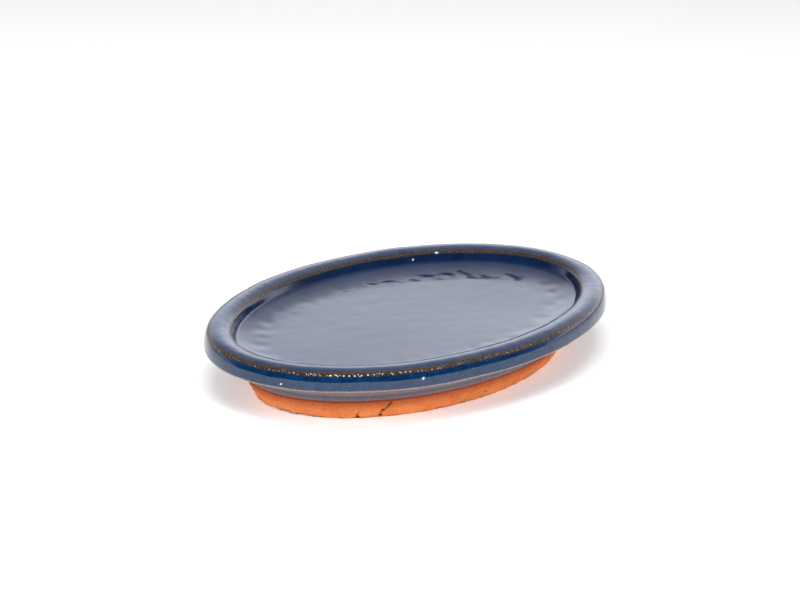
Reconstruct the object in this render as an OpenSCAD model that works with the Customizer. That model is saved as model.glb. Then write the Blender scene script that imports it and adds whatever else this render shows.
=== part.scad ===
// Oval glazed drip tray for a small bonsai: a slab of red clay with a rolled rim
// band luted round its edge and a foot ring luted under it, blue glaze above.
// +X runs along the length, +Z is up, the origin is under the middle of the foot.

/* [Outline] */
// Length of the rim, end to end
tray_length = 150; // [140:2:170]
// Width of the rim, side to side
tray_width = 106; // [98:2:114]

/* [Heights] */
// Height from the ground to the top of the rim
tray_height = 23; // [21.5:0.1:26]
// Height of the well floor above the ground
floor_height = 16.4; // [15.5:0.1:17]
// Height of the lower edge of the rim band
band_bottom = 15.6; // [15:0.1:16.5]
// Height of the line where the glaze stops
glaze_line = 7.8; // [7.5:0.1:10]
// Height of the foot ring
foot_height = 7; // [5:0.1:7.4]

/* [Rim] */
// Width of the rim across its top
rim_width = 8.8; // [8:0.1:9.5]
// How far the rim overhangs the wall under it
rim_overhang = 12.5; // [12.4:0.1:14]
// How far the middle of the rim top stands above its edges
crown = 0.6; // [0.4:0.1:1]

/* [Foot] */
// How far the foot's lower edge is set in from the rim
foot_inset = 16.2; // [15:0.1:18]
// Width of the face that the foot stands on
foot_width = 8; // [6:0.5:10]
// How far the top of the foot stands out from the slab's edge
foot_ledge = 0.25; // [0.1:0.05:0.5]
// Thickness of the slab in the middle, above its hollow
slab_thickness = 6.4; // [5:0.1:8]

/* [Glaze] */
// Thickness of the glaze
glaze_thickness = 0.5; // [0.4:0.1:0.6]

/* [Hidden] */
$fn = 144;

// The oval is four arcs. The centres of an end arc and a side arc are the corners
// of a 3-4-5 triangle, so the arcs meet smoothly on the line through both centres.
triangle = (tray_length - tray_width) / 4;
end_centre = 3 * triangle;
side_centre = 4 * triangle;
end_radius = tray_length / 2 - end_centre;
side_radius = tray_width / 2 + side_centre;

// Places across the section are measured from the rim's outline, inwards negative.
wall_at = -rim_overhang;
slab_edge = wall_at - glaze_thickness;
slab_top = floor_height - glaze_thickness;
slab_bottom = slab_top - slab_thickness;
hollow_edge = -foot_inset - foot_width;
// Every flat layer is a ring as far in as plate_edge, with a plate inside it.
plate_edge = slab_edge - 20;
plate_overlap = 4;

// The section's bends: radius, and the slope where each one starts or stops
lower_round = 1;
upper_round = 1.3;
inner_round = 1.1;
cove_round = 2.4;
under_slope = 14.5;
band_slope = 9;
wall_lean = 16;
shoulder = 65;
crown_reach = 12;
// Where the rim's glaze meets the well's glaze, round the inner bend
glaze_seam = 135;

// Centres of the bends
lower_bend = [-lower_round, band_bottom + lower_round];
band_normal = [cos(band_slope), sin(band_slope)];
upper_bend_z = tray_height - crown - upper_round;
upper_bend = [
    (lower_bend * band_normal + lower_round - upper_round
        - upper_bend_z * sin(band_slope)) / cos(band_slope),
    upper_bend_z
];
inner_bend = [inner_round - rim_width, tray_height - crown - inner_round];
crown_round = pow(rim_width / 2, 2) / (2 * crown);
crown_bend = [(upper_bend[0] + inner_bend[0]) / 2, tray_height - crown_round];
lean_from = inner_bend + inner_round * [-cos(wall_lean), sin(wall_lean)];
lean_drop = lean_from[1] - floor_height - cove_round * (1 - sin(wall_lean));
cove_bend = [
    lean_from[0] - lean_drop * tan(wall_lean) - cove_round * cos(wall_lean),
    floor_height + cove_round
];

function arc(centre, radius, from, to, steps = 4) = [
    for (i = [0:steps]) let (a = from + (to - from) * i / steps)
        centre + radius * [cos(a), sin(a)]
];

// The surface from the glaze line up the wall, under the rim and over it, with
// everything moved in by depth: 0 is the glaze's face and glaze_thickness the clay's.
function rim_path(depth) = let (
        lower = arc(lower_bend, lower_round - depth, under_slope - 90, 0),
        under = lower[0] - (lower[0][0] - wall_at + depth) * [1, tan(under_slope)]
    ) concat(
        [[wall_at - depth, glaze_line], under],
        lower,
        arc(upper_bend, upper_round - depth, band_slope, shoulder),
        arc(crown_bend, crown_round - depth, 90 - crown_reach, 90 + crown_reach),
        arc(inner_bend, inner_round - depth, 180 - shoulder, glaze_seam, 2)
    );

// The surface from the glaze seam down the well's wall, round the cove to the floor
function well_path(depth) = concat(
        arc(inner_bend, inner_round - depth, glaze_seam, 180 - wall_lean, 2),
        arc(cove_bend, cove_round + depth, -wall_lean, -90),
        [[slab_edge, floor_height - depth]]
    );

function reversed(path) = [for (i = [len(path) - 1:-1:0]) path[i]];
function without_first(path) = [for (i = [1:len(path) - 1]) path[i]];
// A section's points to the nearest 0.01 mm, moved out by an arc's radius
function at_radius(section, radius) = [
    for (p = section) [round(100 * (p[0] + radius)) / 100, round(100 * p[1]) / 100]
];

// The part of a full ring that lies in a wedge with its point at the ring's centre
module ring_sector(section, radius, wedge) {
    intersection() {
        rotate_extrude() polygon(at_radius(section, radius));
        translate([0, 0, -1]) linear_extrude(tray_height + 2) polygon(wedge);
    }
}

// Draws a section round the whole oval, as four arcs that meet face to face.
module around_oval(section) {
    end_wedge = end_radius * [[0, 0], [1, 4 / 3], [1, -4 / 3]] * 1.5;
    side_wedge = side_radius * [[0, 0], [3 / 4, 1], [-3 / 4, 1]] * 1.5;
    for (turn = [0, 180]) rotate(turn) {
        translate([end_centre, 0]) ring_sector(section, end_radius, end_wedge);
        translate([0, -side_centre]) ring_sector(section, side_radius, side_wedge);
    }
}

// The flat plate that fills a layer's ring; its edge lies inside the ring.
module plate(bottom, top) {
    reach = plate_edge + plate_overlap;
    outline = [
        for (turn = [0:15:345])
            [(tray_length / 2 + reach) * cos(turn), (tray_width / 2 + reach) * sin(turn)]
    ];
    translate([0, 0, bottom]) linear_extrude(top - bottom) polygon(outline);
}

// The slab of clay that carries the well, thinned underneath inside the foot
module floor_slab() {
    color([0.86, 0.45, 0.28]) {
        around_oval([
            [slab_edge, foot_height],
            [slab_edge, slab_top],
            [plate_edge, slab_top],
            [plate_edge, slab_bottom],
            [hollow_edge - 1.5, slab_bottom],
            [hollow_edge, foot_height]
        ]);
        plate(slab_bottom, slab_top);
    }
}

// The strip of clay round the slab's edge, rolled over into the rim
module rim_band() {
    color([0.80, 0.42, 0.27])
        around_oval(concat(
            without_first(rim_path(glaze_thickness)),
            without_first(well_path(glaze_thickness))
        ));
}

// The ring of bare clay that the tray stands on
module foot_ring() {
    color([0.90, 0.48, 0.29])
        around_oval([
            [-foot_inset, 0],
            [slab_edge + foot_ledge, foot_height],
            [hollow_edge, foot_height],
            [hollow_edge, 0]
        ]);
}

// The glaze in the well: the wall, the cove and the floor
module well_glaze() {
    color([0.20, 0.28, 0.45]) {
        around_oval(concat(
            well_path(0),
            [[plate_edge, floor_height], [plate_edge, slab_top]],
            reversed(well_path(glaze_thickness))
        ));
        plate(slab_top, floor_height);
    }
}

// The glaze over the rim, its outer face, its underside and the wall below
module rim_glaze() {
    color([0.10, 0.20, 0.38])
        around_oval(concat(rim_path(0), reversed(rim_path(glaze_thickness))));
}

floor_slab();
rim_band();
foot_ring();
well_glaze();
rim_glaze();
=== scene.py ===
import math

import bmesh
import bpy
import numpy as np
from mathutils import Matrix, Vector


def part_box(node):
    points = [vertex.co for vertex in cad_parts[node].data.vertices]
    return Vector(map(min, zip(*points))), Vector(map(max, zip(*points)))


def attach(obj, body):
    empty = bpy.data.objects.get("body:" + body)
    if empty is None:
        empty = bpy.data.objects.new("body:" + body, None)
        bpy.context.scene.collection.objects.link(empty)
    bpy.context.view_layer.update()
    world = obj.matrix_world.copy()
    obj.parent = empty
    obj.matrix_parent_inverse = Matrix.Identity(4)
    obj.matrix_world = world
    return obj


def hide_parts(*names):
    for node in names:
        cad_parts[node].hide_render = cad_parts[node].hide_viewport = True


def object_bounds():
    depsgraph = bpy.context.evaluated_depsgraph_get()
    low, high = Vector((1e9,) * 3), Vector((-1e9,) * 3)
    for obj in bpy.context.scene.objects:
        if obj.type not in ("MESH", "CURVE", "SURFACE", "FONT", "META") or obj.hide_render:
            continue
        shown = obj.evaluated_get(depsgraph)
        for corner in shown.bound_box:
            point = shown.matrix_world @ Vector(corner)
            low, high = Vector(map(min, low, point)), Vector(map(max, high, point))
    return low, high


# An oval bonsai drip tray: red clay with a flat glazed well, an overhanging rolled rim
# and a bare foot. The section's sizes are in millimetres until a mesh is made.
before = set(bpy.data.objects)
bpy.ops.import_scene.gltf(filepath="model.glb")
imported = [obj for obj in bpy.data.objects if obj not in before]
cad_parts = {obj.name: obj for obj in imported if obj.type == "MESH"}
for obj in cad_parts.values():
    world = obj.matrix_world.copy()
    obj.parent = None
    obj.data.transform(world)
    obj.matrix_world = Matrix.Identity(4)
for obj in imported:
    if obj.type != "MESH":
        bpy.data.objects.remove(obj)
cad_low, cad_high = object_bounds()

MM = 0.001

# ------------------------------------------------------------- sizes from the frame


def height(node, end):
    """The lowest (0) or highest (1) point of a CAD node, in mm."""
    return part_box(node)[end].z / MM


HALF_LENGTH = (cad_high.x - cad_low.x) / 2 / MM
HALF_WIDTH = (cad_high.y - cad_low.y) / 2 / MM
GLAZE = 0.5
SLAB_THICKNESS = 6.4
# The tray's front dried higher than its back, so a level rim is this far under the top
TILT_ROOM = 0.54
RIM_TOP = cad_high.z / MM - TILT_ROOM
GLAZE_LINE = height("rim_glaze", 0)
FLOOR = height("floor_slab", 1) + GLAZE
SLAB_BOTTOM = FLOOR - GLAZE - SLAB_THICKNESS
# The visual slab's top lies this far under FLOOR, out of the way of the dished glaze
UNDER_FLOOR = 1.6
SLAB_TOP = FLOOR - UNDER_FLOOR
FOOT_TOP = height("foot_ring", 1)
SLAB_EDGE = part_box("floor_slab")[1].x / MM - HALF_LENGTH
WALL = SLAB_EDGE + GLAZE
FOOT_INSET = -16.2
FOOT_WIDTH = 8.0
FOOT_LEDGE = 0.25
HOLLOW = FOOT_INSET - FOOT_WIDTH
HOLLOW_SLOPE = 1.5
# The grit on the slab's bare side fades out by here, behind the glaze
GRIT_TOP = GLAZE_LINE + 0.6

# The section's bends, from the crest of the rim: (radius in mm, slope of the normal in
# degrees where the bend stops). Slopes run from 0 outwards over 90 upwards to 180.
CREST = -4.75
OUTER_BENDS = [(7.0, 68), (2.6, 24), (7.0, 9), (18.0, 2), (1.0, -75.5)]
INNER_BENDS = [(8.3, 112), (2.6, 160)]
# Where the rim's glaze meets the well's, the length of the straight below the last bend,
# the cove at its foot, and how steeply the rim's underside rises outwards
SEAM = 135.0
WELL_WALL = 1.7
COVE_ROUND, COVE_STOP = 2.0, 110
UNDER_SLOPE = 14.5
# The well's glaze lies up against the wall in a curve that dies out in this many mm
POOL_REACH, POOL_POWER = 12.0, 2.0
# How far the floor's middle lies under its edge, apart from that curve
DISH = 0.6

# Slopes between which the glaze breaks to brown: over the rim's outer bend, over its inner
# bend and down into the well; and those of its lower lip, where it is pale and dry
OUTER_BREAK, INNER_BREAK, WELL_BREAK, LIP = (33, 69), (113, 160), (113, 150), (-70, -14)
# Painted glints in the outer break, pale spots standing in for highlights: their slope and bearing,
# each with how far they spread
GLINT_SLOPE, GLINT_SPREAD, GLINT_BEARING, GLINT_REACH = 43, 6.5, 236, 15
# Heights on the wall under the rim where its haze and its pink line start, are full, start
# to fade and are gone
HAZE_LEVELS, BLUSH_LEVELS = (9.2, 9.9, 10.5, 12.0), (10.1, 10.5, 11.2, 11.9)
# Single painted highlight specks, icy spots standing in for lamp reflections: (bearing, offset,
# height, radius)
RIM_HIGHLIGHT_SPECKS = [(213.5, 0, 17.6, 0.2), (251.5, -0.2, 19.0, 0.3)]
WELL_HIGHLIGHT_SPECKS = [(70.5, -9.7, 19.4, 0.25), (63.75, -8.75, 21.3, 0.5)]

# The way round the rim, and from one finger mark on it to the next, in mm; and where the
# marks are, and how far that reaches, in degrees
RIM_ROUND, FINGER_MARK = 405, 2.0
FINGERED = (158, 7)
# How much the dried rim rises for each mm along X and Y
TILT = (0.0008, -0.0106)

GLAZE_IOR = 1.52

# Colours of the bare clay: dark and light at the ground, and deep above, where the deep one is
# painted shade under the rim's overhang; it also darkens grit and cracks
FOOT_CLAY = (0.60, 0.175, 0.050), (0.72, 0.235, 0.073), (0.33, 0.060, 0.021)
SLAB_CLAY = (0.36, 0.080, 0.030), (0.46, 0.115, 0.042), (0.22, 0.045, 0.016)

# How many stations round the oval each piece's mesh has
GLAZE_STATIONS, FOOT_STATIONS, SLAB_STATIONS, BAND_STATIONS = 1080, 1600, 900, 540
# How many rings the well's floor has beside its edge and from there to the middle, on the
# glaze's face and on its underside; and how many the hollow's ceiling has
FACE_RINGS, BACK_RINGS = (40, 26), (6, 3)
CEILING_RINGS = 30


# ------------------------------------------------------------------------- the oval


def oval_bearings(count):
    """Bearings of the outline's normal, in radians, evenly spaced along the outline."""
    fine = np.linspace(0, 2 * np.pi, 20001)
    x, y = oval_points(fine, 0)
    along = np.concatenate([[0], np.cumsum(np.hypot(np.diff(x), np.diff(y)))])
    return np.interp(np.arange(count) / count * along[-1], along, fine)


def oval_points(bearing, offset):
    """The oval moved out by offset, as x and y in mm."""
    reach = np.hypot(HALF_LENGTH * np.cos(bearing), HALF_WIDTH * np.sin(bearing))
    x = (HALF_LENGTH**2 / reach + offset) * np.cos(bearing)
    y = (HALF_WIDTH**2 / reach + offset) * np.sin(bearing)
    return x, y


def near(bearing, degrees, width):
    """How close bearings are to one given in degrees: a soft bump from 0 to 1."""
    away = np.degrees(np.angle(np.exp(1j * (bearing - math.radians(degrees)))))
    return hump(away, 0, width)


# ------------------------------------------------------------------------ soft noise


def waves(points, length, seed, count=28, stretch=(1, 1, 1)):
    """Smooth noise of about unit size: plane waves of nearly one length in every direction."""
    rng = np.random.default_rng(seed)
    way = rng.normal(size=(count, 3))
    way /= np.linalg.norm(way, axis=1)[:, None]
    way *= 2 * np.pi / length * rng.uniform(0.55, 1.45, size=(count, 1))
    way /= np.array(stretch)
    phase = rng.uniform(0, 2 * np.pi, count)
    flat = points.reshape(-1, 3)
    total = np.zeros(len(flat))
    for k in range(count):
        total += np.cos(flat @ way[k] + phase[k])
    return (total * math.sqrt(2 / count)).reshape(points.shape[:-1])


def smooth(low, high, value):
    """0 at low and 1 at high, with a soft start and stop; high may be under low."""
    share = np.clip((value - low) / (high - low), 0, 1)
    return share * share * (3 - 2 * share)


def hump(value, middle, width):
    """A soft bump: 1 at the middle, and nearly 0 from two widths away."""
    return np.exp(-(((value - middle) / width) ** 2))


def plateau(value, start, full, fade, end):
    """0 up to start, 1 from full to fade, and 0 again from end."""
    return smooth(start, full, value) * smooth(end, fade, value)


# ----------------------------------------------------------------------- the section


def unit(degrees):
    return np.array([math.cos(math.radians(degrees)), math.sin(math.radians(degrees))])


def arc(centre, radius, start, stop, count):
    a = np.radians(np.linspace(start, stop, count))
    return np.stack([centre[0] + radius * np.cos(a), centre[1] + radius * np.sin(a)], 1)


def between(start, stop, count):
    """Points from start towards stop, both left out."""
    share = np.linspace(0, 1, count + 2)[1:-1, None]
    return np.array(start) + (np.array(stop) - np.array(start)) * share


def bends(start, slope, steps, depth, counts):
    """A chain of arcs that flow into each other: its points and their slopes.

    It starts from a point of the outer face; depth moves every arc in under that face.
    """
    points, slopes = [], []
    spot = np.array(start, float)
    for (radius, stop), count in zip(steps, counts):
        centre = spot - radius * unit(slope)
        points.append(arc(centre, radius - depth, slope, stop, count))
        slopes.append(np.linspace(slope, stop, count))
        spot = centre + radius * unit(stop)
        slope = stop
    return np.vstack(points), np.concatenate(slopes), spot


def tidy_path(points, slopes):
    """Drops the points that repeat where two arcs meet."""
    keep = np.ones(len(points), bool)
    keep[1:] = np.linalg.norm(np.diff(points, axis=0), axis=1) > 1e-6
    return points[keep], slopes[keep]


def rim_path(depth, fine):
    """The rim's skin from the glaze line to the seam, depth mm under the glaze's face."""
    wall, under = (9, 6) if fine else (1, 1)
    counts = (7, 13, 9, 6, 11) if fine else (2, 3, 2, 2, 3)
    over, over_slopes, _ = bends((CREST, RIM_TOP), 90, OUTER_BENDS, depth, counts)
    over, over_slopes = over[::-1], over_slopes[::-1]
    inner_steps = [INNER_BENDS[0], (INNER_BENDS[1][0], SEAM)]
    into, into_slopes, _ = bends(
        (CREST, RIM_TOP), 90, inner_steps, depth, (7, 6) if fine else (2, 2)
    )
    start = np.array([WALL - depth, GLAZE_LINE])
    rise = (over[0][0] - start[0]) * math.tan(math.radians(UNDER_SLOPE))
    corner = np.array([start[0], over[0][1] - rise])
    below = np.vstack([start, between(start, corner, wall), corner])
    below = np.vstack([below, between(corner, over[0], under)])
    points = np.vstack([below, over, into])
    slopes = np.concatenate([np.full(len(below), -90.0), over_slopes, into_slopes])
    return tidy_path(points, slopes)


def well_path(depth, fine):
    """The well's skin from the seam down the wall and round the cove."""
    bend, lean = INNER_BENDS[1]
    _, _, seam = bends((CREST, RIM_TOP), 90, [INNER_BENDS[0], (bend, SEAM)], 0, (2, 2))
    top, top_slopes, edge = bends(seam, SEAM, [(bend, lean)], depth, (7,) if fine else (2,))
    base = edge + WELL_WALL * unit(lean + 90)
    steps = [(-COVE_ROUND, COVE_STOP)]
    cove, cove_slopes, _ = bends(base, lean, steps, depth, (10,) if fine else (3,))
    middle = between(top[-1], cove[0], 6 if fine else 1)
    points = np.vstack([top, middle, cove])
    slopes = np.concatenate([top_slopes, np.full(len(middle), lean), cove_slopes])
    return tidy_path(points, slopes)


# The offset where the cove ends and the well's floor starts
COVE_END = well_path(0, True)[0][-1][0]


# -------------------------------------------------------------------- making a mesh


def sweep(path, bearing, loop=True):
    """A section carried round the oval: its points [station, place] and outward normals."""
    x, y = oval_points(bearing[:, None], path[None, :, 0])
    z = np.broadcast_to(path[None, :, 1], x.shape)
    step = np.roll(path, -1, 0) - np.roll(path, 1, 0) if loop else np.gradient(path, axis=0)
    step = step / (np.linalg.norm(step, axis=1)[:, None] + 1e-12)
    out = step[None, :, 1]
    up = np.broadcast_to(-step[None, :, 0], x.shape)
    around = bearing[:, None]
    normals = np.stack([out * np.cos(around), out * np.sin(around), up], -1)
    return np.stack([x, y, z], -1), normals


def middle_rings(edge, shares):
    """Rings that shrink from an edge ring (share 0) to a point over its middle (share 1)."""
    middle = edge * [0, 0, 1]
    shares = np.asarray(shares)[None, :, None]
    return edge[:, None] * (1 - shares) + middle[:, None] * shares


def well_floor(edge, bearing, close, count):
    """The glaze in the well, from the cove's edge ring in: pooled and a little dished.

    The first rings keep their distance from the edge; the rest shrink to the middle.
    """
    steps = POOL_REACH * np.arange(1, close + 1) / close
    x, y = oval_points(bearing[:, None], COVE_END - steps[None])
    reach = np.concatenate([steps, np.full(count, POOL_REACH)])[None]
    left = 1 - reach / POOL_REACH
    level = edge[:, 2].mean()
    uneven = level + (edge[:, None, 2] - level) * smooth(0, 1, left[:, :close])
    beside = np.stack([x, y, uneven], -1)
    rings = np.concatenate([beside, middle_rings(beside[:, -1], np.arange(1, count + 1) / count)], 1)
    steep = math.tan(math.radians(COVE_STOP - 90))
    fall = steep * POOL_REACH / (POOL_POWER + 1) * (1 - left ** (POOL_POWER + 1))
    half_axes = np.array([HALF_LENGTH, HALF_WIDTH]) + COVE_END
    out = ((rings[..., :2] / half_axes) ** 2).sum(-1)
    rings[..., 2] -= fall + DISH * np.clip(1 - out, 0, 1)
    return rings, np.broadcast_to(reach, rings.shape[:2])


def grid_faces(stations, places, loop):
    """Quads of a grid that closes along its stations, and along its places if loop."""
    i = np.arange(stations)[:, None]
    j = np.arange(places if loop else places - 1)[None, :]
    after, beyond = (i + 1) % stations, (j + 1) % places
    corners = [i * places + j, after * places + j]
    corners += [after * places + beyond, i * places + beyond]
    return np.stack(corners, -1).reshape(-1, 4)


def make_piece(name, points, loop, marks, material, node):
    """A piece made of a grid of points in mm, with marks: named numbers for each point."""
    mesh = bpy.data.meshes.new(name)
    low, high = np.array(cad_low) / MM, np.array(cad_high) / MM
    flat = np.clip(points.reshape(-1, 3), low, high) * MM
    faces = grid_faces(points.shape[0], points.shape[1], loop)
    mesh.vertices.add(len(flat))
    mesh.vertices.foreach_set("co", flat.astype(np.float32).ravel())
    mesh.loops.add(faces.size)
    mesh.loops.foreach_set("vertex_index", faces.astype(np.int32).ravel())
    mesh.polygons.add(len(faces))
    mesh.polygons.foreach_set("loop_start", np.arange(0, faces.size, 4, dtype=np.int32))
    mesh.update(calc_edges=True)
    for key, values in marks.items():
        layer = mesh.attributes.new(key, "FLOAT", "POINT")
        layer.data.foreach_set("value", values.astype(np.float32).ravel())
    cleaned = bmesh.new()
    cleaned.from_mesh(mesh)
    bmesh.ops.remove_doubles(cleaned, verts=cleaned.verts, dist=1e-6)
    bmesh.ops.dissolve_degenerate(cleaned, edges=cleaned.edges, dist=1e-7)
    bmesh.ops.recalc_face_normals(cleaned, faces=cleaned.faces)
    for face in cleaned.faces:
        face.smooth = True
    cleaned.to_mesh(mesh)
    cleaned.free()
    piece = bpy.data.objects.new(name, mesh)
    bpy.context.scene.collection.objects.link(piece)
    mesh.materials.append(material)
    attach(piece, "root")
    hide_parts(node)
    return piece


def warp(points):
    """The rim dried a little out of true: moves all that belongs above the foot."""
    lift = smooth(GLAZE_LINE, FLOOR - 1, points[..., 2])
    plan = points * [1, 1, 0]
    rise = TILT[0] * points[..., 0] + TILT[1] * points[..., 1]
    bow = 0.06 * waves(plan, 60, 21, 12)
    sway = 0.10 * waves(plan, 55, 22, 12) - 0.1
    moved = points.copy()
    moved[..., 2] += (rise + bow) * lift
    reach = np.linalg.norm(plan, axis=-1) + 1e-6
    for axis in (0, 1):
        moved[..., axis] += points[..., axis] / reach * sway * lift
    return moved


# ------------------------------------------------------------------------- materials


class Paint:
    """A material's node tree, with short ways to add what its surface needs."""

    def __init__(self, name):
        self.material = bpy.data.materials.new(name)
        self.material.use_nodes = True
        self.tree = self.material.node_tree
        self.shader = self.tree.nodes["Principled BSDF"]
        self.place = self.add("TexCoord").outputs["Object"]

    def add(self, kind, **settings):
        node = self.tree.nodes.new("ShaderNode" + kind)
        for key, value in settings.items():
            setattr(node, key, value)
        return node

    def join(self, source, target):
        self.tree.links.new(source, target)

    def feed(self, value, target):
        """Sets a socket from a number, a colour or another node's output."""
        if isinstance(value, bpy.types.NodeSocket):
            self.join(value, target)
        else:
            target.default_value = value

    def noise(self, size_mm, detail=2.0, rough=0.5, stretch=(1, 1, 1), kind="TexNoise"):
        """Noise whose features are about size_mm across."""
        place = self.place
        if stretch != (1, 1, 1):
            mapping = self.add("Mapping")
            mapping.inputs["Scale"].default_value = stretch
            self.join(place, mapping.inputs["Vector"])
            place = mapping.outputs["Vector"]
        node = self.add(kind)
        self.join(place, node.inputs["Vector"])
        node.inputs["Scale"].default_value = 1 / (size_mm * MM)
        if kind == "TexNoise":
            node.inputs["Detail"].default_value = detail
            node.inputs["Roughness"].default_value = rough
            return node.outputs["Fac"]
        return node.outputs["Distance"]

    def mark(self, name):
        return self.add("Attribute", attribute_name=name).outputs["Fac"]

    def math(self, kind, a, b=0.0):
        node = self.add("Math", operation=kind)
        self.feed(a, node.inputs[0])
        self.feed(b, node.inputs[1])
        return node.outputs[0]

    def between(self, value, low, high, out_low=0.0, out_high=1.0):
        node = self.add("MapRange", interpolation_type="SMOOTHSTEP")
        self.feed(value, node.inputs["Value"])
        node.inputs["From Min"].default_value = low
        node.inputs["From Max"].default_value = high
        node.inputs["To Min"].default_value = out_low
        node.inputs["To Max"].default_value = out_high
        return node.outputs["Result"]

    def mix(self, share, a, b):
        node = self.add("Mix", data_type="RGBA")
        self.feed(share, node.inputs["Factor"])
        self.feed(a if isinstance(a, bpy.types.NodeSocket) else (*a, 1), node.inputs["A"])
        self.feed(b if isinstance(b, bpy.types.NodeSocket) else (*b, 1), node.inputs["B"])
        return node.outputs["Result"]

    def colour(self, value):
        self.join(value, self.shader.inputs["Base Color"])

    def rough(self, value):
        self.feed(value, self.shader.inputs["Roughness"])

    def bump(self, layers):
        """Layers of (height from 0 to 1, how deep in mm), each on top of the last."""
        normal = None
        for value, depth in layers:
            node = self.add("Bump")
            node.inputs["Distance"].default_value = depth * MM
            self.join(value, node.inputs["Height"])
            if normal is not None:
                self.join(normal, node.inputs["Normal"])
            normal = node.outputs["Normal"]
        self.join(normal, self.shader.inputs["Normal"])


def break_to_brown(p, cloud, grain, blue, dark_brown, light_brown):
    """How thin the glaze is, and its colour: blue, with a grainy brown where it is thin."""
    thin = p.math("MULTIPLY", p.mark("thin"), p.between(cloud, 0.25, 0.55, 0.75, 1.1))
    brown = p.mix(p.between(grain, 0.36, 0.66), dark_brown, light_brown)
    return thin, p.mix(p.between(thin, 0.25, 0.75), blue, brown)


def rim_glaze_material():
    """Mottled blue glaze that breaks to brown where it runs thin over an edge.

    Under the rim it is a thin purple-grey, with a pale haze, a pink line and a painted highlight
    line along the glaze's lower edge. Painted glints run along the outer break, and painted
    highlight specks sit in the glaze.
    """
    navy, royal, light_blue = (0.0006, 0.011, 0.038), (0.0010, 0.019, 0.062), (0.008, 0.045, 0.11)
    browns = (0.007, 0.0045, 0.0035), (0.058, 0.033, 0.021)
    dry_lip, pale_lip = (0.09, 0.065, 0.060), (0.27, 0.19, 0.15)
    dark_wall, light_wall = (0.060, 0.044, 0.066), (0.085, 0.064, 0.088)
    haze_and_edge_highlight, pink = (0.18, 0.135, 0.165), (0.25, 0.095, 0.080)
    teal, cream, icy = (0.06, 0.20, 0.26), (0.80, 0.66, 0.53), (0.50, 0.85, 0.90)

    p = Paint("rim_glaze")
    cloud = p.noise(3.0, 4, 0.6)
    mottle = p.noise(0.8, 3, 0.6)
    grain = p.noise(0.55, 4, 0.75)
    blue = p.mix(p.between(cloud, 0.35, 0.65), navy, royal)
    blue = p.mix(p.between(mottle, 0.5, 0.8, 0, 0.5), blue, light_blue)
    thin, surface = break_to_brown(p, cloud, grain, blue, *browns)
    surface = p.mix(p.mark("lip"), surface, p.mix(p.between(grain, 0.40, 0.60), dry_lip, pale_lip))
    wall = p.mix(p.between(mottle, 0.35, 0.65), dark_wall, light_wall)
    wall = p.mix(p.mark("blush"), p.mix(p.mark("haze_and_edge_highlight"), wall, haze_and_edge_highlight), pink)
    surface = p.mix(p.mark("wall"), surface, wall)
    speck = p.between(p.noise(3.0, kind="TexVoronoi"), 0.04, 0.07, 1, 0)
    surface = p.mix(p.math("MULTIPLY", speck, 0.5), surface, teal)
    # painted glint: pale cream spots along the outer break stand in for highlights of a light
    painted_glint = p.between(p.noise(0.85, kind="TexVoronoi"), 0.24, 0.38, 1, 0)
    painted_glint = p.math("MULTIPLY", painted_glint, p.between(mottle, 0.40, 0.50))
    surface = p.mix(p.math("MULTIPLY", painted_glint, p.mark("glint")), surface, cream)
    # pale mark: icy specks painted as highlights
    p.colour(p.mix(p.mark("pale"), surface, icy))
    p.rough(p.between(thin, 0.3, 0.9, 0.09, 0.13))
    p.shader.inputs["IOR"].default_value = GLAZE_IOR
    broken = p.math("MULTIPLY", grain, p.between(thin, 0.2, 0.8))
    p.bump([(p.noise(1.6, 2, 0.5), 0.012), (broken, 0.030)])
    return p.material


def well_glaze_material():
    """Deep blue glaze lying level and glossy in the well."""
    navy, royal, light_blue = (0.0015, 0.008, 0.030), (0.003, 0.013, 0.045), (0.010, 0.030, 0.080)
    browns = (0.010, 0.008, 0.006), (0.055, 0.042, 0.028)
    icy = (0.55, 0.85, 0.90)

    p = Paint("well_glaze")
    cloud = p.noise(9.0, 4, 0.6)
    mottle = p.noise(0.9, 3, 0.6)
    grain = p.noise(0.55, 4, 0.75)
    blue = p.mix(p.between(cloud, 0.3, 0.7), navy, royal)
    blue = p.mix(p.between(mottle, 0.45, 0.8, 0, 0.35), blue, light_blue)
    thin, surface = break_to_brown(p, cloud, grain, blue, *browns)
    # pale mark: icy specks painted as highlights
    p.colour(p.mix(p.mark("pale"), surface, icy))
    p.rough(p.between(cloud, 0.3, 0.7, 0.09, 0.14))
    p.shader.inputs["IOR"].default_value = GLAZE_IOR
    streaks = p.noise(5.0, 4, 0.6, (0.4, 1.0, 1.0))
    broken = p.math("MULTIPLY", grain, p.between(thin, 0.2, 0.8))
    p.bump([(streaks, 0.045), (p.noise(0.5, 2, 0.6), 0.0015), (broken, 0.050)])
    return p.material


def shade(colour, share):
    return tuple(min(1, channel * share) for channel in colour)


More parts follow.
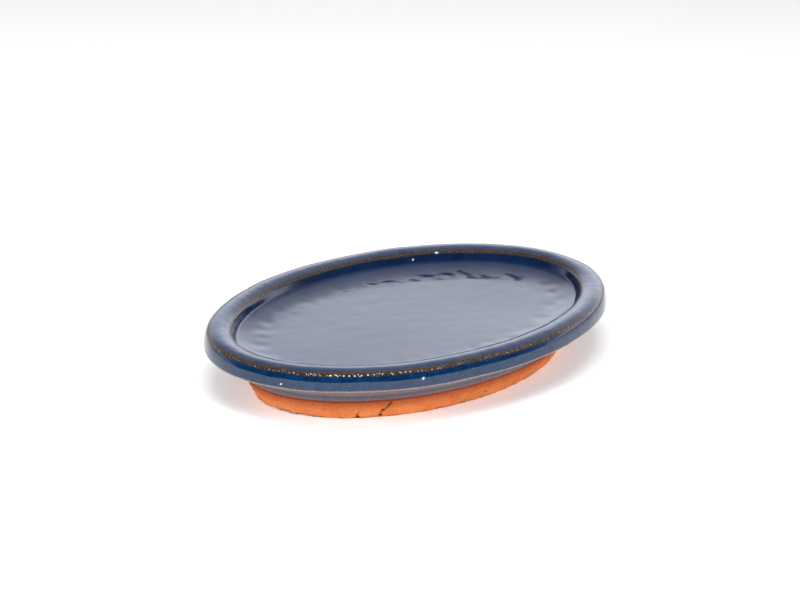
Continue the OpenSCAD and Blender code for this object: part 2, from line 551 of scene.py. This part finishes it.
def clay_material(name, dark, light, deep):
    """Bare fired clay: gritty, with pale and dark grog, and painted shade in its cracks and crumbles
    and along its lower edge, where it is also dirty.

    It is light at the ground, and darker and redder towards the foot's top and above: painted shade
    under the rim's overhang.
    """
    p = Paint(name)
    split = p.add("SeparateXYZ")
    p.join(p.place, split.inputs[0])
    # painted shade: the clay darkens upwards under the rim's overhang, and the slab lies wholly in
    # it
    painted_rim_shade = p.between(split.outputs["Z"], 1.8 * MM, 7.4 * MM)
    cloud = p.noise(5.0, 4, 0.65)
    sand = p.noise(0.45, 4, 0.75)
    base = p.mix(painted_rim_shade, p.mix(p.between(cloud, 0.3, 0.7), dark, light), deep)
    base = p.mix(p.between(sand, 0.50, 0.72, 0, 0.45), base, shade(light, 1.35))
    base = p.mix(p.between(sand, 0.46, 0.30, 0, 0.7), base, shade(deep, 0.8))
    grog = p.between(p.noise(1.7, kind="TexVoronoi"), 0.08, 0.14, 1, 0)
    base = p.mix(p.math("MULTIPLY", grog, 0.4), base, shade(deep, 0.5))
    # crack mark: painted shade in cracks and crumbled places, and dirt with painted contact shade at
    # the ground
    p.colour(p.mix(p.mark("crack"), base, shade(deep, 0.06)))
    p.rough(0.9)
    p.shader.inputs["Specular IOR Level"].default_value = 0.2
    p.bump([(cloud, 0.12), (sand, 0.16)])
    return p.material


# ---------------------------------------------------------------------- the pieces


def browning(slopes, bearing, low, high):
    """Where the glaze changes colour: slopes from low to high, with a wandering edge."""
    spots = np.stack([np.cos(bearing) * HALF_LENGTH, np.sin(bearing) * HALF_WIDTH], -1)
    spots = np.concatenate([spots, np.zeros((len(bearing), 1))], -1)
    wander = 2.5 * waves(spots, 16, 41)[:, None] + 1.0 * waves(spots, 5, 42)[:, None]
    slope = slopes[None] + wander
    return plateau(slope, low - 5, low + 5, high - 5, high + 5)


def painted_highlight_specks(points, spots):
    """Small icy spots painted in the glaze as highlights: spots are (bearing, offset, height,
    radius).
    """
    pale = np.zeros(points.shape[:2])
    for degrees, offset, up, radius in spots:
        x, y = oval_points(math.radians(degrees), offset)
        away = np.linalg.norm(points - np.array([x, y, up]), axis=-1)
        pale = np.maximum(pale, smooth(radius * 1.6, radius * 0.6, away))
    return pale


def hand_marks(points, normals, bearing, share):
    """Moves a glazed face along its normals: lumps from the hand and a few finger marks."""
    lumps = 0.030 * waves(points, 16, 31) + 0.008 * waves(points, 5.0, 32)
    along = np.arange(len(bearing)) / len(bearing) * RIM_ROUND
    ripple = np.sin(along * 2 * np.pi / FINGER_MARK)[:, None]
    pressed = 0.018 * near(bearing, *FINGERED)[:, None] * ripple
    return points + normals * ((lumps + pressed) * share)[..., None]


def rim_glaze(bearing):
    """The coat over the rim, from the seam on its inner bend to the line on the wall."""
    (outer, slopes), (inner, _) = rim_path(0, True), rim_path(GLAZE, False)
    path = np.vstack([outer, inner[::-1]])
    points, normals = sweep(path, bearing)
    count = len(outer)
    along = np.concatenate([[0], np.cumsum(np.linalg.norm(np.diff(outer, axis=0), axis=1))])
    share = np.zeros(len(path))
    share[:count] = smooth(0, 0.6, along) * smooth(0, 0.5, along[-1] - along)
    points = hand_marks(points, normals, bearing, share[None])

    thin, lip, glint = np.zeros((3, *points.shape[:2]))
    for slope_range in (OUTER_BREAK, INNER_BREAK):
        thin[:, :count] += browning(slopes, bearing, *slope_range)
    lip[:, :count] = browning(slopes, bearing, *LIP)
    # where the painted glints show: the slopes and bearings that face the light
    glint[:, :count] = hump(slopes, GLINT_SLOPE, GLINT_SPREAD)
    glint *= (0.95 * near(bearing, GLINT_BEARING, GLINT_REACH) + 0.25)[:, None]
    up = points[..., 2]
    beside_wall = path[None, :, 0] < WALL + 1.5
    faces_down = np.zeros(len(path), bool)
    faces_down[:count] = slopes < -60
    wall = np.maximum(smooth(14.2, 13.0, up) * beside_wall, 0.85 * faces_down[None])
    # the pale band, plus a painted highlight: the hump at the glaze line stands in for its edge
    # catching light from the table
    haze_and_edge_highlight = plateau(up, *HAZE_LEVELS) + hump(up, GLAZE_LINE + 0.15, 0.25)
    marks = {"thin": thin, "lip": lip, "wall": wall, "blush": plateau(up, *BLUSH_LEVELS)}
    marks |= {"glint": np.clip(glint, 0, 1), "haze_and_edge_highlight": np.clip(haze_and_edge_highlight, 0, 1)}
    # pale: painted highlight specks
    marks["pale"] = painted_highlight_specks(points, RIM_HIGHLIGHT_SPECKS)
    material = rim_glaze_material()
    return make_piece("rim_glaze_coat", warp(points), True, marks, material, "rim_glaze")


def well_glaze(bearing):
    """The coat in the well, from the seam down the wall and over the floor, which is
    unsettled a little way in from the wall, where the glaze ran down and lay thickest."""
    (outer, slopes), (inner, _) = well_path(0, True), well_path(GLAZE, False)
    skin, normals = sweep(outer, bearing, loop=False)
    back, _ = sweep(inner, bearing, loop=False)
    below_seam = smooth(0, 8, np.arange(len(outer)))
    skin = skin - normals * (0.03 * waves(skin, 12, 51) * below_seam[None])[..., None]
    floor, reach = well_floor(skin[:, -1], bearing, *FACE_RINGS)
    floor[..., 2] += 0.042 * waves(floor, 7, 52) * hump(reach, 7, 3.5)
    floor[..., 2] += 0.007 * waves(floor, 22, 53) * smooth(0, 8, reach)
    under, _ = well_floor(back[:, -1], bearing, *BACK_RINGS)
    points = np.concatenate([under[:, ::-1], back[:, ::-1], skin, floor], 1)

    first = under.shape[1] + back.shape[1]
    bend_places = int(np.argmax(slopes))
    thin = np.zeros(points.shape[:2])
    bend_thin = browning(slopes[:bend_places], bearing, *WELL_BREAK)
    thin[:, first : first + bend_places] = bend_thin
    marks = {"thin": thin, "pale": painted_highlight_specks(points, WELL_HIGHLIGHT_SPECKS)}
    material = well_glaze_material()
    return make_piece("well_glaze_coat", warp(points), False, marks, material, "well_glaze")


# Cracks in the foot's outer face: where each is (bearing in degrees), its way down the
# face as (mm along, mm up) points, and its half width in mm
CRACKS = [
    (246.2, [(1.3, 6.4), (0.5, 5.1), (0.0, 3.9), (-1.3, 3.0), (-1.7, 2.0), (-1.9, 0.6)], 0.16),
    (237.7, [(0.5, 3.0), (0.0, 1.8), (0.2, 0.0)], 0.11),
    (237.7, [(0.0, 1.8), (-0.6, 0.7), (-0.7, 0.0)], 0.10),
    (20.0, [(0.0, 5.0), (0.5, 3.2), (0.2, 1.4), (0.9, 0.0)], 0.14),
    (128.0, [(0.4, 3.4), (0.0, 1.8), (-0.6, 0.0)], 0.12),
]
# Pits in the same face: (bearing, mm along, mm up, radius)
PITS = [
    (246.2, 0.5, 5.1, 0.34),
    (246.2, -0.1, 4.2, 0.22),
    (246.2, -1.2, 3.0, 0.46),
    (246.2, -1.8, 0.9, 0.50),
    (237.7, 0.1, 0.5, 0.40),
    (262.0, 0.0, 4.4, 0.20),
    (271.0, 0.0, 2.6, 0.24),
    (226.0, 0.0, 3.6, 0.18),
]
# Crumbled places on its lower edge: (bearing, half width in mm, depth in mm)
CHIPS = [
    (190, 1.4, 0.8),
    (196, 1.1, 0.6),
    (203, 1.9, 0.9),
    (209, 1.0, 0.6),
    (213, 1.5, 0.8),
    (217.5, 1.3, 0.6),
    (222, 0.9, 0.5),
    (297, 1.4, 0.7),
    (301, 0.9, 0.5),
]
SMALL_CHIPS = 46
CRACK_DEPTH = 0.45
# Where the edge's dirt and painted contact shade are darkest, and how far that reaches, in degrees
DARKEST_EDGE = (215, 25)


def spread(bearing, around, degrees):
    """Distance in mm along a ring from a bearing given in degrees, either way round."""
    whole = around[-1] + around[1]
    home = np.interp(math.radians(degrees), bearing, around)
    return (around - home + whole / 2) % whole - whole / 2


def route_closeness(spot, route, width):
    """How close spots are to a line of points: 1 on it, falling off over its width."""
    best = np.full(spot.shape[:-1], np.inf)
    for start, stop in zip(np.array(route[:-1]), np.array(route[1:])):
        way = stop - start
        share = np.clip((spot - start) @ way / (way @ way), 0, 1)
        best = np.minimum(best, np.linalg.norm(spot - start - share[..., None] * way, axis=-1))
    return hump(best, 0, width)


def foot_path():
    """The foot's section, with more points on the outer face for its cracks and grit."""
    top = SLAB_EDGE + FOOT_LEDGE
    corners = [(FOOT_INSET, 0.25), (top - 0.15, FOOT_TOP - 0.12), (top - 0.35, FOOT_TOP)]
    corners += [(HOLLOW, FOOT_TOP), (HOLLOW, 0.6), (HOLLOW + 0.6, 0), (FOOT_INSET - 0.35, 0)]
    counts = [30, 1, 4, 8, 1, 8, 1]
    path = []
    for k, corner in enumerate(corners):
        path += [np.array([corner]), between(corner, corners[(k + 1) % len(corners)], counts[k])]
    return np.vstack(path)


def foot_cracks(points, up, bearing, around):
    """How deep in a crack or pit each point of the foot is, from 0 to 1."""
    crack = np.zeros(up.shape)
    for degrees, route, width in CRACKS:
        along = spread(bearing, around, degrees)[:, None] + 0.12 * waves(points, 1.3, 66, 12)
        crack = np.maximum(crack, route_closeness(np.stack([along, up], -1), route, width))
    for degrees, aside, level, radius in PITS:
        along = spread(bearing, around, degrees)[:, None] - aside
        away = np.hypot(along * 0.8, up - level) + 0.08 * waves(points, 0.9, 67, 12)
        crack = np.maximum(crack, smooth(radius * 1.4, radius * 0.5, away))
    return crack


def foot_bites(points, up, bearing, around, offsets):
    """How much has crumbled from the foot's lower outer edge, in mm at each point."""
    rng = np.random.default_rng(64)
    small = zip(
        rng.uniform(0, 360, SMALL_CHIPS),
        rng.uniform(0.3, 0.9, SMALL_CHIPS),
        rng.uniform(0.1, 0.35, SMALL_CHIPS),
    )
    bite = np.zeros(up.shape)
    for degrees, width, deep in CHIPS + list(small):
        close = np.exp(-((spread(bearing, around, degrees) / width) ** 4))[:, None]
        bite = np.maximum(bite, close * deep * smooth(1.5 * deep, 0, up))
    bite = bite * (0.75 + 0.35 * waves(points, 1.2, 65, 30))
    return bite * hump(offsets, FOOT_INSET, 1.2)


def foot_ring(bearing):
    """The ring of bare clay underneath, with its grit, cracks, pits and crumbled edge."""
    path = foot_path()
    points, normals = sweep(path, bearing)
    x, y = oval_points(bearing, FOOT_INSET)
    around = np.concatenate([[0], np.cumsum(np.hypot(np.diff(x), np.diff(y)))])
    up = points[..., 2].copy()
    offsets = path[:, 0]
    grit = 0.035 * waves(points, 1.5, 61, 40) + 0.05 * waves(points, 6, 62)
    grit = (grit + 0.025 * waves(points, 0.8, 63, 40)) * smooth(FOOT_TOP, FOOT_TOP - 0.5, up)
    points = points + normals * grit[..., None]

    outer_half = offsets > (FOOT_INSET + HOLLOW) / 2
    crack = foot_cracks(points, up, bearing, around) * outer_half
    points = points - normals * (CRACK_DEPTH * crack)[..., None]

    bite = foot_bites(points, up, bearing, around, offsets)
    points[..., 0] -= np.cos(bearing)[:, None] * bite
    points[..., 1] -= np.sin(bearing)[:, None] * bite
    points[..., 2] += 0.55 * bite * smooth(0.8, 0.0, up)
    points[..., 2] = np.maximum(points[..., 2], 0)

    patches = waves(points, 3.0, 68) + near(bearing, *DARKEST_EDGE)[:, None]
    # dirt patches at the ground, which also stand in for contact shade
    dirt_and_contact_shade = smooth(0.9, 0.1, up) * smooth(0.1, 0.9, patches) * (offsets > FOOT_INSET - 0.8)
    # painted shade in cracks and crumbled places, plus the dirt and painted contact shade
    dark = np.clip(1.1 * crack + 0.5 * smooth(0.2, 0.7, bite) + 0.7 * dirt_and_contact_shade, 0, 1)
    material = clay_material("foot_clay", *FOOT_CLAY)
    return make_piece("foot_ring_clay", points, True, {"crack": dark}, material, "foot_ring")


def floor_slab(bearing):
    """The slab under the well: hollow below, with the bare edge that shows over the foot."""
    ceiling, inside = (HOLLOW - HOLLOW_SLOPE, SLAB_BOTTOM), (HOLLOW, FOOT_TOP)
    outside, behind = (SLAB_EDGE, FOOT_TOP), (SLAB_EDGE, GRIT_TOP)
    path = [[ceiling], between(ceiling, inside, 4), [inside], between(inside, outside, 5)]
    path += [[outside], between(outside, behind, 8), [(SLAB_EDGE, SLAB_TOP)]]
    rim, normals = sweep(np.vstack(path), bearing, loop=False)
    bare = smooth(GRIT_TOP, GLAZE_LINE, rim[..., 2])
    rim = rim + normals * (0.03 * waves(rim, 1.4, 71, 40) * bare)[..., None]
    below = middle_rings(rim[:, 0], np.arange(CEILING_RINGS, 0, -1) / CEILING_RINGS)
    below[..., 2] += 0.10 * waves(below, 9, 72) + 0.04 * waves(below, 2.5, 73)
    above = middle_rings(rim[:, -1], [0.5, 1])
    points = warp(np.concatenate([below, rim, above], 1))
    material = clay_material("bare_clay", *SLAB_CLAY)
    marks = {"crack": np.zeros(points.shape[:2])}
    return make_piece("floor_slab_clay", points, False, marks, material, "floor_slab")


def rim_band(bearing):
    """The clay inside the rim, which its glaze covers."""
    outer, inner = rim_path(GLAZE, False)[0][1:], well_path(GLAZE, False)[0][1:]
    path = np.vstack([outer, inner, [(SLAB_EDGE, SLAB_TOP)]])
    points = warp(sweep(path, bearing)[0])
    marks = {"crack": np.zeros(points.shape[:2])}
    material = bpy.data.materials["bare_clay"]
    return make_piece("rim_band_clay", points, True, marks, material, "rim_band")


# --------------------------------------------------------------- the stage and light

# Where the camera stands: its bearing round the tray, its height and roll in degrees, and
# its distance in metres from what it aims at, which is so far to the right and up
STAND_BEARING, STAND_HEIGHT, STAND_ROLL = -37.62, 21.73, 0.72
STAND_AWAY = 0.6375
AIM_RIGHT, AIM_UP = -0.00375, 0.01912
LENS, SENSOR = 84.4, 36.0

# The tent as glossy surfaces see it: (degrees up from the camera's side over the top to
# the far side, brightness)
TENT = [(0, 0.03), (30, 0.05), (60, 0.2), (75, 0.4), (95, 0.6), (118, 0.75)]
TENT += [(134, 1.0), (148, 1.3), (154, 2.0), (158, 2.25), (162, 2.4), (167, 2.4)]
TENT += [(173, 1.6), (180, 0.5)]
TENT_STRENGTH = 2.5
TENT_TINT = (0.95, 0.98, 1.10)
# The tent is dimmer towards the camera's left: from where to where, and how dim
TENT_LEFT, LEFT_LEVEL = (-0.45, -0.03), 0.5
ROOM_LIGHT = 0.5
# Fill lamps: (name, degrees to the camera's right, degrees up, metres away, size, watts)
FILLS = [
    ("left_fill", -40, 32, 1.2, (0.35, 0.35), 9.5),
    ("right_fill", 40, 32, 1.2, (0.35, 0.35), 9.5),
    ("top_fill", 0, 66, 1.05, (0.5, 0.3), 5.5),
]


def rig_axes():
    """The level way into the picture and the way to its right."""
    a = math.radians(STAND_BEARING)
    return Vector((-math.sin(a), math.cos(a), 0)), Vector((math.cos(a), math.sin(a), 0))


def link(name, data):
    item = bpy.data.objects.new(name, data)
    bpy.context.scene.collection.objects.link(item)
    return item


def camera():
    """A camera that sees the tray from where the photo was taken."""
    into, right = rig_axes()
    e = math.radians(STAND_HEIGHT)
    ahead = into * math.cos(e) - Vector((0, 0, math.sin(e)))
    up = into * math.sin(e) + Vector((0, 0, math.cos(e)))
    data = bpy.data.cameras.new("camera")
    data.lens, data.sensor_width = LENS, SENSOR
    data.clip_start, data.clip_end = 0.01, 20
    place = right * AIM_RIGHT + up * AIM_UP - ahead * STAND_AWAY
    turn = Matrix((right, up, -ahead)).transposed().to_4x4()
    turn = turn @ Matrix.Rotation(math.radians(STAND_ROLL), 4, "Z")
    seat = link("camera", data)
    seat.matrix_world = Matrix.Translation(place) @ turn
    bpy.context.scene.camera = seat


def table():
    """The plain pale ground that the tray stands on."""
    mesh = bpy.data.meshes.new("table")
    half = 6.0
    corners = [(-half, -half, 0), (half, -half, 0), (half, half, 0), (-half, half, 0)]
    mesh.from_pydata(corners, [], [(0, 1, 2, 3)])
    p = Paint("table")
    p.colour(p.mix(p.noise(300, 1, 0.5), (0.97, 0.97, 0.97), (0.96, 0.96, 0.96)))
    p.rough(0.9)
    p.shader.inputs["Specular IOR Level"].default_value = 0.1
    mesh.materials.append(p.material)
    link("table", mesh)


def sky():
    """An even room light, in which glossy surfaces mirror a tent lit from its far side."""
    into, right = rig_axes()
    world = bpy.data.worlds.new("tent")
    bpy.context.scene.world = world
    world.use_nodes = True
    tree = world.node_tree
    way = tree.nodes.new("ShaderNodeTexCoord").outputs["Generated"]

    def along(axis):
        dot = tree.nodes.new("ShaderNodeVectorMath")
        dot.operation = "DOT_PRODUCT"
        tree.links.new(way, dot.inputs[0])
        dot.inputs[1].default_value = axis
        return dot.outputs["Value"]

    turn = tree.nodes.new("ShaderNodeMath")
    turn.operation = "ARCTAN2"
    tree.links.new(along((0, 0, 1)), turn.inputs[0])
    tree.links.new(along(-into), turn.inputs[1])
    share = tree.nodes.new("ShaderNodeMath")
    share.operation = "DIVIDE"
    tree.links.new(turn.outputs[0], share.inputs[0])
    share.inputs[1].default_value = math.pi
    ramp = tree.nodes.new("ShaderNodeValToRGB")
    tree.links.new(share.outputs[0], ramp.inputs["Fac"])
    stops = ramp.color_ramp.elements
    stops.remove(stops[1])
    for k, (degrees, level) in enumerate(TENT):
        stop = stops[0] if k == 0 else stops.new(degrees / 180)
        stop.position = degrees / 180
        stop.color = (*(level / TENT_STRENGTH * tint for tint in TENT_TINT), 1)
    room = tree.nodes["Background"]
    room.inputs["Strength"].default_value = ROOM_LIGHT
    room.inputs["Color"].default_value = (1, 1, 1, 1)
    tent = tree.nodes.new("ShaderNodeBackground")
    lean = tree.nodes.new("ShaderNodeMapRange")
    tree.links.new(along(right), lean.inputs["Value"])
    lean.inputs["From Min"].default_value, lean.inputs["From Max"].default_value = TENT_LEFT
    lean.inputs["To Min"].default_value = TENT_STRENGTH * LEFT_LEVEL
    lean.inputs["To Max"].default_value = TENT_STRENGTH
    tree.links.new(lean.outputs["Result"], tent.inputs["Strength"])
    tree.links.new(ramp.outputs["Color"], tent.inputs["Color"])
    mix = tree.nodes.new("ShaderNodeMixShader")
    tree.links.new(tree.nodes.new("ShaderNodeLightPath").outputs["Is Glossy Ray"], mix.inputs["Fac"])
    tree.links.new(room.outputs[0], mix.inputs[1])
    tree.links.new(tent.outputs[0], mix.inputs[2])
    tree.links.new(mix.outputs[0], tree.nodes["World Output"].inputs["Surface"])


def lamp(name, aside, up, away, size, watts):
    """An area lamp facing the tray, aside degrees to the camera's right and up degrees.

    Glossy surfaces don't mirror it, because they see the tent instead.
    """
    into, right = rig_axes()
    a, b = math.radians(aside), math.radians(up)
    way = (right * math.sin(a) - into * math.cos(a)) * math.cos(b) + Vector((0, 0, math.sin(b)))
    side = (right * math.cos(a) + into * math.sin(a)).normalized()
    data = bpy.data.lights.new(name, "AREA")
    data.shape, data.energy = "RECTANGLE", watts
    data.size, data.size_y = size
    item = link(name, data)
    turn = Matrix((side, way.cross(side), way)).transposed().to_4x4()
    item.matrix_world = Matrix.Translation(way * away) @ turn
    item.visible_glossy = False


camera()
table()
sky()
for fill in FILLS:
    lamp(*fill)
bpy.context.scene.view_settings.view_transform = "Standard"

rim_glaze(oval_bearings(GLAZE_STATIONS))
well_glaze(oval_bearings(GLAZE_STATIONS))
foot_ring(oval_bearings(FOOT_STATIONS))
floor_slab(oval_bearings(SLAB_STATIONS))
rim_band(oval_bearings(BAND_STATIONS))
